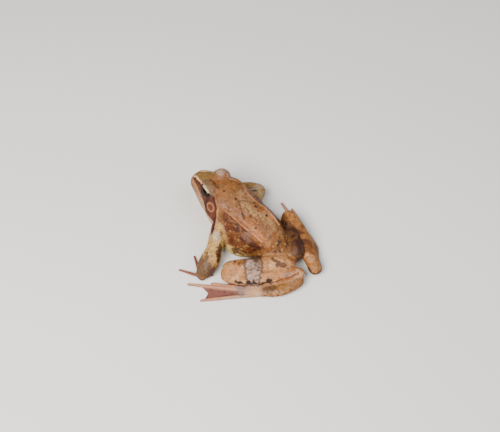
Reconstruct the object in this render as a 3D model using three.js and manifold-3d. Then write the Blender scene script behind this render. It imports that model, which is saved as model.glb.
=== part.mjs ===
// A common frog (Rana temporaria) sitting at rest, life size, as a still museum model.
// Millimetres, +Z up. The frog faces -Y and its left side is +X. It rests on the plane z = 0,
// with the origin on that plane, under the middle of its bounding box.
import * as THREE from 'three';
import { mergeVertices } from 'three/addons/utils/BufferGeometryUtils.js';
import Module from 'manifold-3d';

const wasm = await Module();
wasm.setup();

// Driving dimensions. Forward is counted from the vent, up from the ground.
const BODY_LENGTH = 78.8;
const GAP = 0.34;
const VENT_ROUNDING = 5.5;
const SNOUT_ROUNDING = 3.6;
const WELD_DISTANCE = 1e-4;

const EYE = { forward: 61.7, outward: 6.2, up: 26.6, radius: 3.9 };
const LID = { forward: 62, outward: 5.2, up: 26.7, length: 6, width: 4.8, height: 4.8 };
const EARDRUM = { forward: 54.8, up: 21.9, radius: 3, depth: 1.6 };
const MOUTH_CORNER = { forward: 50.4, up: 14.2 };
const MOUTH_TIP_UP = 18.4;
const NECK = { nape: 46.2, crown: 47.5, crownUp: 22, throat: 48.5 };

const FINGER_RADIUS = 0.95;
const TOE_RADIUS = 1.15;
const TOE_START = 4;
const TOE_SPACING = 0.8;
const WEB_THICKNESS = 0.8;
const WEB_REACH = [0.9, 0.88, 0.88, 0.84, 0.96];
const WEB_SCOOP = 0.82;

// Joint centres as [forward, outward, up]; outward is away from the midline on either side.
const LEFT = {
  side: 1,
  shoulder: [45, 14.2, 13],
  elbow: [38, 27.6, 8.8],
  wrist: [36.2, 37.6, 4],
  knuckles: [36.6, 40, 1.8],
  armGirth: 1.15,
  fingerHeadings: [-128, -78, -32, 20],
  hip: [2, 5.8, 9.6],
  knee: [24.4, 28.5, 9.4],
  shin: [23.6, 30.7, 6.4],
  heel: [-6, 4.2, 6.6],
  tarsalHeel: [-8.4, 7, 4.8],
  tarsalBow: [-1.4, 2, 0],
  ankle: [2.4, 23, 2.3],
  thighGirth: 1,
  toeHeadings: [10, 20, 31, 33.5, 46.8],
  toeReach: 1,
};
const RIGHT = {
  side: -1,
  shoulder: [43.5, 13.5, 13],
  elbow: [47.4, 23.4, 7.6],
  wrist: [59, 19.8, 3.6],
  knuckles: [62, 18.4, 1.8],
  armGirth: 1,
  fingerHeadings: [-84, -50, -22, 12],
  hip: [3, 4.8, 8.8],
  knee: [20.8, 19.2, 7.2],
  shin: [21.6, 20.6, 8],
  heel: [-10.4, 5.4, 4.8],
  tarsalHeel: [-11, 6.8, 3.4],
  tarsalBow: [0.8, -0.6, 0],
  ankle: [-0.5, 16.6, 2.3],
  thighGirth: 0.86,
  toeHeadings: [-2, 6, 13, 19.5, 24],
  toeReach: 0.83,
};

const FINGER_LENGTHS = [5.6, 8.5, 12.8, 11.8];
const TOE_LENGTHS = [17, 23, 31, 44, 36];

const SKIN = { roughness: 0.45, metalness: 0 };
const COLOURS = {
  back: 0xb98a5a, lip: 0xd0a887, ear: 0x8a4a2c, eye: 0x16110d,
  arm: 0xb59457, finger: 0xb9806a, leg: 0xb98f61, foot: 0xc79a86,
};

const UPRIGHT = new THREE.Vector3(0, 0, 1);
const at = (forward, left, up) => new THREE.Vector3(left, -forward, up);
const placed = (frogSide, [forward, outward, up]) => at(forward, frogSide * outward, up);

// A smooth function through a short table of [x, y] pairs, level beyond its ends.
function smoothTable(table) {
  const slope = (i) => {
    const before = table[Math.max(i - 1, 0)];
    const after = table[Math.min(i + 1, table.length - 1)];
    return (after[1] - before[1]) / (after[0] - before[0]);
  };
  return (x) => {
    if (x <= table[0][0]) return table[0][1];
    const i = table.findIndex(([edge]) => edge > x) - 1;
    if (i < 0) return table[table.length - 1][1];
    const [x0, y0] = table[i];
    const [x1, y1] = table[i + 1];
    const width = x1 - x0;
    const t = (x - x0) / width;
    const rise = t * t * (3 - 2 * t);
    const leave = t * (1 - t) * (1 - t) * width * slope(i);
    const arrive = t * t * (t - 1) * width * slope(i + 1);
    return y0 + (y1 - y0) * rise + leave + arrive;
  };
}

// Equal values spread along 0 to 1 as a smooth function.
const spread = (values) => smoothTable(values.map((value, i) => [i / (values.length - 1), value]));

// Places along a length with rounded ends: [distance, how much of the full section is there].
function roundEndedStations(length, startCap, endCap, capSteps, steps) {
  const stations = [];
  for (let k = 1; k <= capSteps; k += 1) {
    const angle = (k / capSteps) * (Math.PI / 2);
    stations.push([startCap * (1 - Math.cos(angle)), Math.sin(angle)]);
  }
  const straight = length - startCap - endCap;
  for (let k = 1; k < steps; k += 1) stations.push([startCap + (straight * k) / steps, 1]);
  for (let k = capSteps; k >= 1; k -= 1) {
    const angle = (k / capSteps) * (Math.PI / 2);
    stations.push([length - endCap * (1 - Math.cos(angle)), Math.sin(angle)]);
  }
  return stations;
}

// A closed skin over rings of points, drawn to a pole at each end.
function closedLoft(rings, startPole, endPole) {
  const sides = rings[0].length;
  const points = [...rings.flat(), startPole, endPole];
  const start = points.length - 2;
  const end = points.length - 1;
  const index = [];
  for (let j = 0; j < sides; j += 1) {
    const next = (j + 1) % sides;
    for (let i = 0; i + 1 < rings.length; i += 1) {
      const near = i * sides;
      const far = near + sides;
      index.push(near + j, far + j, far + next, near + j, far + next, near + next);
    }
    const last = (rings.length - 1) * sides;
    index.push(start, j, next, end, last + next, last + j);
  }
  const geometry = new THREE.BufferGeometry().setFromPoints(points);
  geometry.setIndex(index);
  return facingOut(geometry);
}

// Six times the volume that the faces enclose, negative where they face in.
function signedVolume(geometry) {
  const position = geometry.attributes.position;
  const order = geometry.index.array;
  const corner = [new THREE.Vector3(), new THREE.Vector3(), new THREE.Vector3()];
  let volume = 0;
  for (let i = 0; i < order.length; i += 3) {
    corner.forEach((point, k) => point.fromBufferAttribute(position, order[i + k]));
    volume += corner[0].dot(corner[1].clone().cross(corner[2]));
  }
  return volume;
}

function facingOut(geometry) {
  if (signedVolume(geometry) < 0) {
    const order = geometry.index.array;
    for (let i = 0; i < order.length; i += 3) [order[i], order[i + 1]] = [order[i + 1], order[i]];
  }
  return geometry;
}

function welded(geometry) {
  const bare = geometry.clone();
  bare.deleteAttribute('normal');
  bare.deleteAttribute('uv');
  return facingOut(mergeVertices(bare, WELD_DISTANCE));
}

// The same surface moved out along its normals.
function swollen(geometry, distance) {
  const fat = geometry.clone();
  fat.computeVertexNormals();
  const { position, normal } = fat.attributes;
  for (let i = 0; i < position.count; i += 1) {
    position.setXYZ(
      i,
      position.getX(i) + normal.getX(i) * distance,
      position.getY(i) + normal.getY(i) * distance,
      position.getZ(i) + normal.getZ(i) * distance,
    );
  }
  fat.deleteAttribute('normal');
  return fat;
}

// How far the midline of the neck and head stands to the left of the trunk's.
const swayAt = smoothTable([[38, 0], [50, -1.5], [60, -1.8], [70, -1.6], [BODY_LENGTH, -0.3]]);

function swayed(geometry) {
  const { position } = geometry.attributes;
  for (let i = 0; i < position.count; i += 1) {
    position.setX(i, position.getX(i) + swayAt(-position.getY(i)));
  }
  return geometry;
}

function solidOf(geometry) {
  return new wasm.Manifold(new wasm.Mesh({
    numProp: 3,
    vertProperties: new Float32Array(geometry.attributes.position.array),
    triVerts: new Uint32Array(geometry.index.array),
  }));
}

const union = (solids) => solids.reduce((sum, solid) => sum.add(solid));

// A limb swept along a smooth route between two joint centres, with an oval section and round
// ends. Breadth is the half width across the route and depth the half height, at even steps.
function limb({ route, breadth, depth, sides = 10, steps = 7, capSteps = 3 }) {
  const startCap = (breadth[0] + depth[0]) / 2;
  const endCap = (breadth.at(-1) + depth.at(-1)) / 2;
  const beyond = (from, to, distance) => to.clone().sub(from).setLength(distance).add(to);
  const points = [
    beyond(route[1], route[0], startCap),
    ...route.slice(1, -1),
    beyond(route.at(-2), route.at(-1), endCap),
  ];
  const curve = new THREE.CatmullRomCurve3(points, false, 'centripetal');
  const length = curve.getLength();
  const breadthAt = spread(breadth);
  const depthAt = spread(depth);
  const stations = roundEndedStations(length, startCap, endCap, capSteps, steps);
  const rings = stations.map(([distance, part]) => {
    const u = distance / length;
    const centre = curve.getPointAt(u);
    const ahead = curve.getTangentAt(u);
    const across = new THREE.Vector3().crossVectors(ahead, UPRIGHT).normalize();
    const rise = new THREE.Vector3().crossVectors(across, ahead);
    return Array.from({ length: sides }, (_, j) => {
      const angle = (j / sides) * Math.PI * 2;
      return centre.clone()
        .addScaledVector(across, Math.cos(angle) * breadthAt(u) * part)
        .addScaledVector(rise, Math.sin(angle) * depthAt(u) * part);
    });
  });
  return closedLoft(rings, curve.getPointAt(0), curve.getPointAt(1));
}

function ellipsoid(centre, forwardRadius, leftRadius, upRadius, across, down) {
  const ball = new THREE.SphereGeometry(1, across, down);
  ball.scale(leftRadius, forwardRadius, upRadius);
  ball.translate(centre.x, centre.y, centre.z);
  return welded(ball);
}

// Trunk and head in one. Each section across the body goes over a crown to a shoulder, down a
// nearly flat flank to its widest line, and round the belly. The shoulder is the fold along the
// back, and on the head the edge from the eye to the nostril.
const topAt = smoothTable([
  [0, 8.6], [5, 12.4], [12, 16.8], [20, 22], [26, 24.6], [34, 25.9], [42, 27.4], [50, 29],
  [57, 29.6], [63, 28.8], [69, 27], [74, 25.4], [BODY_LENGTH, 23.6],
]);
const shoulderAt = {
  outward: smoothTable([
    [0, 2.6], [8, 5.2], [14, 7], [20, 8.8], [28, 9.3], [44, 9.4], [54, 9.8], [60, 9], [66, 7.2],
    [72, 5.4], [BODY_LENGTH, 3.4],
  ]),
  up: smoothTable([
    [0, 7.6], [8, 11.8], [14, 15.4], [20, 20.2], [27, 23.2], [36, 24.3], [46, 25.9], [54, 26.8],
    [62, 26.8], [68, 25.4], [74, 23.8], [BODY_LENGTH, 22.4],
  ]),
};
const widest = {
  outward: smoothTable([
    [0, 4], [4, 5.4], [8, 6.4], [13, 7.8], [18, 10.4], [24, 15], [30, 18.6], [35, 19.2],
    [40, 18.2], [46, 17.2], [52, 15.9], [58, 14.4], [64, 12.5], [69, 10.2], [74, 7.4],
    [BODY_LENGTH, 4.2],
  ]),
  up: smoothTable([
    [0, 6], [10, 7], [18, 6.6], [26, 5], [35, 4.4], [40, 5.4], [46, 8.4], [52, 11.6], [58, 14.2],
    [66, 16.6], [BODY_LENGTH, 18.6],
  ]),
};
const bottomAt = smoothTable([
  [0, 2.5], [5, -0.2], [12, -0.5], [38, -0.5], [42, 1], [48, 4], [54, 7.6], [60, 10.8],
  [66, 13.4], [72, 15.6], [BODY_LENGTH, 17.4],
]);
const flankBulge = smoothTable([
  [0, 1], [14, 1], [24, 0.6], [40, 0.7], [48, 1], [60, 0.6], [BODY_LENGTH, 0.5],
]);
const BELLY_FULLNESS = 2.3;
const CROWN_STEPS = 3;
const FLANK_STEPS = 4;
const BELLY_STEPS = 5;

// Half a section as [outward, up] points, from the midline of the back to that of the belly.
function halfSection(forward) {
  const top = topAt(forward);
  const shoulder = [shoulderAt.outward(forward), shoulderAt.up(forward)];
  const edge = [widest.outward(forward), widest.up(forward)];
  const bottom = bottomAt(forward);
  const points = [];
  for (let k = 0; k < CROWN_STEPS; k += 1) {
    const share = k / CROWN_STEPS;
    points.push([shoulder[0] * share, top + (shoulder[1] - top) * share ** 2]);
  }
  const run = [edge[0] - shoulder[0], edge[1] - shoulder[1]];
  const flank = Math.hypot(...run);
  for (let k = 0; k < FLANK_STEPS; k += 1) {
    const share = k / FLANK_STEPS;
    const bulge = (flankBulge(forward) * Math.sin(Math.PI * share)) / flank;
    const outward = shoulder[0] + run[0] * share - run[1] * bulge;
    points.push([outward, shoulder[1] + run[1] * share + run[0] * bulge]);
  }
  const power = 2 / BELLY_FULLNESS;
  for (let k = 0; k <= BELLY_STEPS; k += 1) {
    const angle = ((k / BELLY_STEPS) * Math.PI) / 2;
    const drop = (edge[1] - bottom) * Math.sin(angle) ** power;
    points.push([edge[0] * Math.cos(angle) ** power, edge[1] - drop]);
  }
  points.at(-1)[0] = 0;
  return points;
}

function bodyRing(forward, part) {
  const half = halfSection(forward);
  const centre = widest.up(forward);
  const ringOn = (side) => half.map(([outward, up]) => (
    at(forward, side * outward * part, centre + (up - centre) * part)
  ));
  return [...ringOn(1), ...ringOn(-1).slice(1, -1).reverse()];
}

function bodyLoft() {
  const stations = roundEndedStations(BODY_LENGTH, VENT_ROUNDING, SNOUT_ROUNDING, 3, 19);
  const rings = stations.map(([forward, part]) => bodyRing(forward, part));
  const vent = at(0, 0, widest.up(0));
  const snout = at(BODY_LENGTH, 0, widest.up(BODY_LENGTH));
  return swayed(closedLoft(rings, vent, snout));
}

// How far the flank stands out from the midline at a height between its widest line and shoulder.
function flankAt(forward, up) {
  const [high, low] = [shoulderAt.up(forward), widest.up(forward)];
  const share = (high - up) / (high - low);
  const [near, far] = [shoulderAt.outward(forward), widest.outward(forward)];
  const bulge = flankBulge(forward) * Math.sin(Math.PI * share);
  return near + (far - near) * share + bulge * ((high - low) / Math.hypot(high - low, far - near));
}

function eyelid(side) {
  const centre = at(LID.forward, side * LID.outward, LID.up);
  return swayed(ellipsoid(centre, LID.length, LID.width, LID.height, 12, 8));
}

function eyeball(side) {
  const centre = at(EYE.forward, side * EYE.outward, EYE.up);
  return swayed(ellipsoid(centre, EYE.radius, EYE.radius, EYE.radius, 10, 7));
}

// A thin disc set level with the side of the head.
function eardrum(side) {
  const { forward, up, radius, depth } = EARDRUM;
  const outward = flankAt(forward, up);
  const step = 0.5;
  const tilt = (flankAt(forward, up - step) - flankAt(forward, up + step)) / (2 * step);
  const narrowing = (flankAt(forward - step, up) - flankAt(forward + step, up)) / (2 * step);
  const facing = at(narrowing, side, tilt).normalize();
  const rim = [
    [0, -depth / 2],
    [radius * 0.85, -depth / 2],
    [radius, 0],
    [radius * 0.9, depth * 0.2],
    [0, depth * 0.3],
  ];
  const disc = new THREE.LatheGeometry(rim.map(([x, y]) => new THREE.Vector2(x, y)), 14);
  disc.applyQuaternion(new THREE.Quaternion().setFromUnitVectors(new THREE.Vector3(0, 1, 0), facing));
  const centre = at(forward, side * outward, up);
  disc.translate(centre.x, centre.y, centre.z);
  return swayed(welded(disc));
}

// A block across the whole body, from its outline seen from the side.
function sideBlock(outline) {
  const width = 80;
  const shape = new THREE.Shape(outline.map(([forward, up]) => new THREE.Vector2(forward, up)));
  const block = new THREE.ExtrudeGeometry(shape, { depth: width, bevelEnabled: false });
  block.translate(0, 0, -width / 2);
  const turn = new THREE.Matrix4().makeBasis(at(1, 0, 0), at(0, 0, 1), at(0, -1, 0));
  return welded(block.applyMatrix4(turn));
}

// The mouth line, a shallow wave from the snout to the corner of the mouth.
function mouthLine() {
  const points = [];
  const steps = 6;
  for (let k = 0; k <= steps; k += 1) {
    const t = k / steps;
    const forward = MOUTH_CORNER.forward + (BODY_LENGTH + 1 - MOUTH_CORNER.forward) * t;
    const up = MOUTH_CORNER.up + (MOUTH_TIP_UP - MOUTH_CORNER.up) * t - 0.5 * Math.sin(Math.PI * 2 * t);
    points.push([forward, up]);
  }
  return points;
}

// Blocks that hold the trunk, the head and the lower jaw, with thin gaps between them.
function bodyBlocks() {
  const half = GAP / 2;
  const [back, front] = [-20, BODY_LENGTH + 10];
  const [low, high] = [-10, 60];
  const mouth = mouthLine();
  const mouthFront = mouth.at(-1)[1];
  const nape = [[NECK.nape, high], [NECK.crown, NECK.crownUp]];
  const throat = [[MOUTH_CORNER.forward, MOUTH_CORNER.up], [NECK.throat, low]];
  const shifted = (outline, ahead, rise) => (
    outline.map(([forward, up]) => [forward + ahead, up + rise])
  );
  return {
    trunk: sideBlock([[back, low], [back, high], ...shifted([...nape, ...throat], -half, 0)]),
    head: sideBlock([
      ...shifted(nape, half, 0),
      ...shifted(mouth, half, half),
      [front, mouthFront + half],
      [front, high],
    ]),
    lower_jaw: sideBlock([
      ...shifted(mouth, half, -half),
      [front, mouthFront - half],
      [front, low],
      [NECK.throat + half, low],
    ]),
  };
}

function thigh(leg) {
  const [hip, knee] = [placed(leg.side, leg.hip), placed(leg.side, leg.knee)];
  const middle = hip.clone().lerp(knee, 0.5).add(new THREE.Vector3(0, 0, 0.4));
  const stout = (radius) => radius * leg.thighGirth;
  return limb({
    route: [hip, middle, knee],
    breadth: [5.6, 5.9, 5.6, 5.1, 4.4].map(stout),
    depth: [5.8, 6, 5.5, 5, 4.4].map(stout),
    sides: 12,
  });
}

function shank(leg) {
  const [knee, heel] = [placed(leg.side, leg.shin), placed(leg.side, leg.heel)];
  const bow = at(-0.9, leg.side * 1.1, 0);
  const calf = knee.clone().lerp(heel, 0.4).add(bow);
  return limb({
    route: [knee, calf, heel],
    breadth: [4.4, 5.3, 5, 4.2, 3.8],
    depth: [4.5, 5, 4.7, 4, 3.8],
  });
}

function tarsus(leg) {
  const [heel, ankle] = [placed(leg.side, leg.tarsalHeel), placed(leg.side, leg.ankle)];
  const bow = placed(leg.side, leg.tarsalBow);
  return limb({
    route: [heel, heel.clone().lerp(ankle, 0.5).add(bow), ankle],
    breadth: [3.4, 3.7, 3.8, 3.4],
    depth: [3.4, 3.2, 2.8, 2.3],
    steps: 5,
  });
}

function heading(side, degrees) {
  const angle = THREE.MathUtils.degToRad(degrees);
  return at(Math.cos(angle), side * Math.sin(angle), 0);
}

// A finger or toe: a stalk with a knob at each joint and a round tip on the ground.
function digit(root, direction, length, radius, steps) {
  const tip = root.clone().addScaledVector(direction, length);
  tip.z = radius * 0.6;
  const middle = root.clone().lerp(tip, 0.55);
  middle.z = radius * 1.1;
  return limb({
    route: [root, middle, tip],
    breadth: [1.25, 0.95, 1.12, 0.85, 0.95, 0.7].map((share) => share * radius),
    depth: [1.2, 0.95, 1.05, 0.85, 0.9, 0.75].map((share) => share * radius),
    sides: 6,
    steps,
    capSteps: 2,
  });
}

// The foot: a flat sole, five toes and the web between them.
function foot(leg) {
  const ankle = placed(leg.side, leg.ankle);
  const toes = leg.toeHeadings.map((degrees, i) => {
    const direction = heading(leg.side, degrees);
    const root = toeRoot(leg, i);
    return digit(root, direction, TOE_LENGTHS[i] * leg.toeReach - TOE_START, TOE_RADIUS, 4);
  });
  const long = heading(leg.side, leg.toeHeadings[3]);
  const sole = limb({
    route: [ankle, toeRoot(leg, 3).lerp(ankle, 0.4), toeRoot(leg, 3).addScaledVector(long, 7)],
    breadth: [3, 3.3, 3.3, 2.6],
    depth: [2, 1.9, 1.6, 1.2],
    steps: 5,
  });
  return [sole, ...toes, web(leg)];
}

// Where a toe leaves the sole: the toes stand side by side across the foot.
function toeRoot(leg, i) {
  const middle = leg.toeHeadings[2];
  const root = placed(leg.side, leg.ankle)
    .addScaledVector(heading(leg.side, leg.toeHeadings[i]), TOE_START)
    .addScaledVector(heading(leg.side, middle + 90), (i - 2) * TOE_SPACING);
  root.z = 1.5;
  return root;
}

// The web is a flat fan on the ground, scooped between one toe and the next.
function web(leg) {
  const reach = (i, share) => {
    const direction = heading(leg.side, leg.toeHeadings[i]);
    const along = TOE_LENGTHS[i] * leg.toeReach * share - TOE_START;
    return toeRoot(leg, i).addScaledVector(direction, along);
  };
  const ankle = placed(leg.side, leg.ankle);
  const shape = new THREE.Shape();
  shape.moveTo(ankle.x, ankle.y);
  WEB_REACH.forEach((share, i) => {
    const point = reach(i, share);
    if (i === 0) {
      shape.lineTo(point.x, point.y);
    } else {
      const before = reach(i - 1, WEB_REACH[i - 1] * WEB_SCOOP);
      const notch = reach(i, share * WEB_SCOOP).lerp(before, 0.5);
      shape.quadraticCurveTo(notch.x, notch.y, point.x, point.y);
    }
  });
  const buried = 1;
  const fan = new THREE.ExtrudeGeometry(shape, {
    depth: WEB_THICKNESS + buried, bevelEnabled: false, curveSegments: 2,
  });
  return welded(fan.translate(0, 0, -buried));
}

function upperArm(arm) {
  const [shoulder, elbow] = [placed(arm.side, arm.shoulder), placed(arm.side, arm.elbow)];
  return limb({
    route: [shoulder, shoulder.clone().lerp(elbow, 0.5), elbow],
    breadth: [4.8, 5, 4.8, 4.5],
    depth: [5, 5, 4.6, 4.4],
    steps: 5,
  });
}

function forearm(arm) {
  const [elbow, wrist] = [placed(arm.side, arm.elbow), placed(arm.side, arm.wrist)];
  const stout = (radius) => radius * arm.armGirth;
  return limb({
    route: [elbow, elbow.clone().lerp(wrist, 0.5), wrist],
    breadth: [3.9, 5.3, 4.9, 3.4].map(stout),
    depth: [3.8, 4.7, 4.1, 2.8].map(stout),
    steps: 6,
  });
}

function palm(arm) {
  const [wrist, knuckles] = [placed(arm.side, arm.wrist), placed(arm.side, arm.knuckles)];
  return limb({
    route: [wrist, wrist.clone().lerp(knuckles, 0.5), knuckles],
    breadth: [3.2, 3.8, 4, 3.6],
    depth: [2.4, 2.2, 2, 1.6],
    steps: 4,
  });
}

function finger(arm, i) {
  const root = placed(arm.side, arm.knuckles);
  const direction = heading(arm.side, arm.fingerHeadings[i]);
  root.addScaledVector(direction, 1.5);
  root.z = 1.3;
  return digit(root, direction, FINGER_LENGTHS[i], FINGER_RADIUS, 3);
}

// Every part gives way to the parts before it, so that neighbours meet with a thin gap.
const group = new THREE.Group();
const earlier = [];
const ground = solidOf(welded(new THREE.BoxGeometry(400, 400, 50).translate(0, 0, -25)));

function addMesh(name, solid, colour) {
  const pieces = solid.decompose();
  const whole = pieces.reduce((best, piece) => (piece.volume() > best.volume() ? piece : best));
  const { numProp, vertProperties, triVerts } = whole.getMesh();
  const geometry = new THREE.BufferGeometry();
  geometry.setAttribute('position', new THREE.BufferAttribute(vertProperties, numProp));
  geometry.setIndex(new THREE.BufferAttribute(triVerts, 1));
  geometry.computeVertexNormals();
  const mesh = new THREE.Mesh(geometry, new THREE.MeshStandardMaterial({ color: colour, ...SKIN }));
  mesh.name = name;
  group.add(mesh);
}

const carved = (solid) => (
  earlier.reduce((rest, neighbour) => rest.subtract(neighbour), solid.subtract(ground))
);

function addPart(name, forms, colour) {
  addMesh(name, carved(union(forms.map(solidOf))), colour);
  earlier.push(union(forms.map((form) => solidOf(swollen(form, GAP)))));
}

const sides = { left: LEFT, right: RIGHT };
for (const [name, limbs] of Object.entries(sides)) {
  addPart(`eye_${name}`, [eyeball(limbs.side)], COLOURS.eye);
  addPart(`eardrum_${name}`, [eardrum(limbs.side)], COLOURS.ear);
}

const bodyForms = [bodyLoft(), eyelid(1), eyelid(-1)];
const body = carved(union(bodyForms.map(solidOf)));
const bodyColours = { trunk: COLOURS.back, head: COLOURS.back, lower_jaw: COLOURS.lip };
for (const [name, block] of Object.entries(bodyBlocks())) {
  addMesh(name, body.intersect(solidOf(block)), bodyColours[name]);
}
earlier.push(union(bodyForms.map((form) => solidOf(swollen(form, GAP)))));

for (const [name, limbs] of Object.entries(sides)) {
  addPart(`shank_${name}`, [shank(limbs)], COLOURS.leg);
  addPart(`thigh_${name}`, [thigh(limbs)], COLOURS.leg);
  addPart(`tarsus_${name}`, [tarsus(limbs)], COLOURS.leg);
  addPart(`foot_${name}`, foot(limbs), COLOURS.foot);
  addPart(`upper_arm_${name}`, [upperArm(limbs)], COLOURS.arm);
  addPart(`forearm_${name}`, [forearm(limbs)], COLOURS.arm);
  addPart(`hand_${name}`, [palm(limbs)], COLOURS.arm);
  for (let i = 0; i < FINGER_LENGTHS.length; i += 1) {
    addPart(`finger_${name}_${i + 1}`, [finger(limbs, i)], COLOURS.finger);
  }
}

const box = new THREE.Box3().setFromObject(group);
const middle = box.getCenter(new THREE.Vector3());
group.position.set(-middle.x, -middle.y, -box.min.z);

export default group;
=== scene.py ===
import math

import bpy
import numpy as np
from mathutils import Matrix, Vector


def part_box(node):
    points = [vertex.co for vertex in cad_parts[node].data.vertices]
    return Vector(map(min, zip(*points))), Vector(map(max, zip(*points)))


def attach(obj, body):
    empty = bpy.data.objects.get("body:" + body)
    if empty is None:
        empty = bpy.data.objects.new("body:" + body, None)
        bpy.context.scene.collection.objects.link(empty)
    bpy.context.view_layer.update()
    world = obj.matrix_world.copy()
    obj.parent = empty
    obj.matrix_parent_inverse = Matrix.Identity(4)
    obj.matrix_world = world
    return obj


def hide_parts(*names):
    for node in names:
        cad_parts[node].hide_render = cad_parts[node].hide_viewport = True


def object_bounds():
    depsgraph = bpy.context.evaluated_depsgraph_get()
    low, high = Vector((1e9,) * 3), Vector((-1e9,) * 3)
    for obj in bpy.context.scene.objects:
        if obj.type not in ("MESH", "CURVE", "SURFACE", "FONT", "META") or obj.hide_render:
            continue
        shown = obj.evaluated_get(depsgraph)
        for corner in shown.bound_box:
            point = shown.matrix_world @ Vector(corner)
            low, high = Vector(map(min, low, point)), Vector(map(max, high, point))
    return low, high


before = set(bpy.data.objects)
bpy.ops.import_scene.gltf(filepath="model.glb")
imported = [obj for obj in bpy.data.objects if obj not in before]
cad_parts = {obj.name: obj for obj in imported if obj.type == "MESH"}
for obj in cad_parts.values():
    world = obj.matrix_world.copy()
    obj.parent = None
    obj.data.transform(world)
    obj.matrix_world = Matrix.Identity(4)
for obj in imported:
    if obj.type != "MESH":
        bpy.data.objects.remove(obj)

# A common frog at rest, as a life-size museum model. One skin is grown over the CAD solids of
# the flesh, with eyes set in it. Lengths are in millimetres until a mesh is made, and places on
# the frog are (forward of the vent, left of the midline, up from the floor).

import openvdb
from mathutils import Vector

MM = 0.001
CAD_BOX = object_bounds()

VOXEL = 0.28
BAND = 7.0
CUT_BLEND = 0.9
GRID_MARGIN = 4.0
BLUR_REACH = 2.6
TIP_INSET = 0.12
NECK_BENDS_FROM, NECK_BENDS_TO = 37.0, 55.0
SNOUT_BENDS, SNOUT_RETURN = (66.0, 80.0), 0.85

SIDES = {"left": 1, "right": -1}
BODY_NODES = ["trunk", "head", "lower_jaw", "eardrum_left", "eardrum_right"]
# How far each limb part melts into the one above it, and within what reach of their joint.
LIMB_CHAIN = [
    ("thigh", "trunk", 4.0, 7.0),
    ("shank", "thigh", 2.6, 4.5),
    ("tarsus", "shank", 2.2, 4.0),
    ("foot", "tarsus", 2.0, 4.0),
    ("upper_arm", "trunk", 4.0, 6.0),
    ("forearm", "upper_arm", 2.6, 5.0),
    ("hand", "forearm", 2.0, 4.0),
]
FINGERS = 4


# ---------------------------------------------------------------- places from the frame

def corners(node):
    low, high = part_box(node)
    return np.array(low) / MM, np.array(high) / MM


def centre(node):
    low, high = corners(node)
    return (low + high) / 2


TRUNK_LOW, TRUNK_HIGH = corners("trunk")
MIDLINE = (TRUNK_LOW[0] + TRUNK_HIGH[0]) / 2
VENT = TRUNK_HIGH[1]


def row_point(forward, left, up):
    return np.array([MIDLINE + left, VENT - forward, up])


def sway(forward):
    """How far the midline of the neck and head stands left of the trunk's."""
    at_eyes = (centre("eye_left") + centre("eye_right"))[0] / 2 - MIDLINE
    neck = smoothstep(forward, NECK_BENDS_FROM, NECK_BENDS_TO)
    return at_eyes * (neck - SNOUT_RETURN * smoothstep(forward, *SNOUT_BENDS))


def frog_places(points):
    """Points of the row frame as forward, left and up, with the bend of the neck undone."""
    forward = VENT - points[:, 1]
    return np.stack([forward, points[:, 0] - MIDLINE - sway(forward), points[:, 2]], axis=1)


def smoothstep(x, start, end):
    t = np.clip((x - start) / (end - start), 0, 1)
    return t * t * (3 - 2 * t)


# ---------------------------------------------------------------- distance fields

GRID_LOW = np.array([c / MM for c in CAD_BOX[0]]) - GRID_MARGIN
GRID_HIGH = np.array([c / MM for c in CAD_BOX[1]]) + GRID_MARGIN
GRID_SHAPE = tuple(np.ceil((GRID_HIGH - GRID_LOW) / VOXEL).astype(int))


class Field:
    """The signed distance to one solid, kept on the part of the grid near it."""

    def __init__(self, node):
        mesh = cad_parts[node].data
        mesh.calc_loop_triangles()
        points = np.zeros(len(mesh.vertices) * 3, np.float32)
        mesh.vertices.foreach_get("co", points)
        points = points.reshape(-1, 3) / MM - GRID_LOW
        triangles = np.zeros(len(mesh.loop_triangles) * 3, np.int32)
        mesh.loop_triangles.foreach_get("vertices", triangles)
        steps = BAND / VOXEL
        grid = openvdb.FloatGrid.createLevelSetFromPolygons(
            points.astype(np.float64), triangles=triangles.reshape(-1, 3).astype(np.uint32),
            transform=openvdb.createLinearTransform(voxelSize=VOXEL), halfWidth=steps)
        start = np.maximum(np.floor(points.min(0) / VOXEL - steps).astype(int), 0)
        end = np.minimum(np.ceil(points.max(0) / VOXEL + steps).astype(int), GRID_SHAPE)
        self.start = start
        self.values = np.zeros(tuple(end - start), np.float32)
        grid.copyToArray(self.values, ijk=tuple(int(i) for i in start))

    @property
    def window(self):
        return tuple(slice(a, a + n) for a, n in zip(self.start, self.values.shape))


def sample(values, start, points, outside=BAND):
    """A grid's values at points of the row frame, by trilinear weights."""
    at = (points - GRID_LOW) / VOXEL - start
    low = np.floor(at).astype(int)
    inside = np.all((low >= 0) & (low < np.array(values.shape) - 1), axis=1)
    result = np.full(len(points), outside, np.float32)
    low, part = low[inside], (at - low)[inside]
    total = np.zeros(len(low))
    for corner in np.ndindex(2, 2, 2):
        weight = np.prod(np.where(corner, part, 1 - part), axis=1)
        total += weight * values[tuple((low + corner).T)]
    result[inside] = total
    return result


def smooth_min(a, b, k):
    """The lower of two fields, rounded where they are within k of each other."""
    near = np.maximum(k - np.abs(a - b), 0)
    return np.minimum(a, b) - near * near / (4 * k)


def blurred(values, spread):
    """A Gaussian blur of the grid, spread in millimetres."""
    sigma = spread / VOXEL
    reach = int(math.ceil(BLUR_REACH * sigma))
    kernel = np.exp(-0.5 * (np.arange(-reach, reach + 1) / sigma) ** 2)
    kernel = (kernel / kernel.sum()).astype(np.float32)
    for axis in range(3):
        padded = np.pad(values, [(reach, reach) if i == axis else (0, 0) for i in range(3)], mode="edge")
        values = np.zeros_like(values)
        for k, weight in enumerate(kernel):
            values += weight * np.take(padded, range(k, k + values.shape[axis]), axis=axis)
    return values


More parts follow.
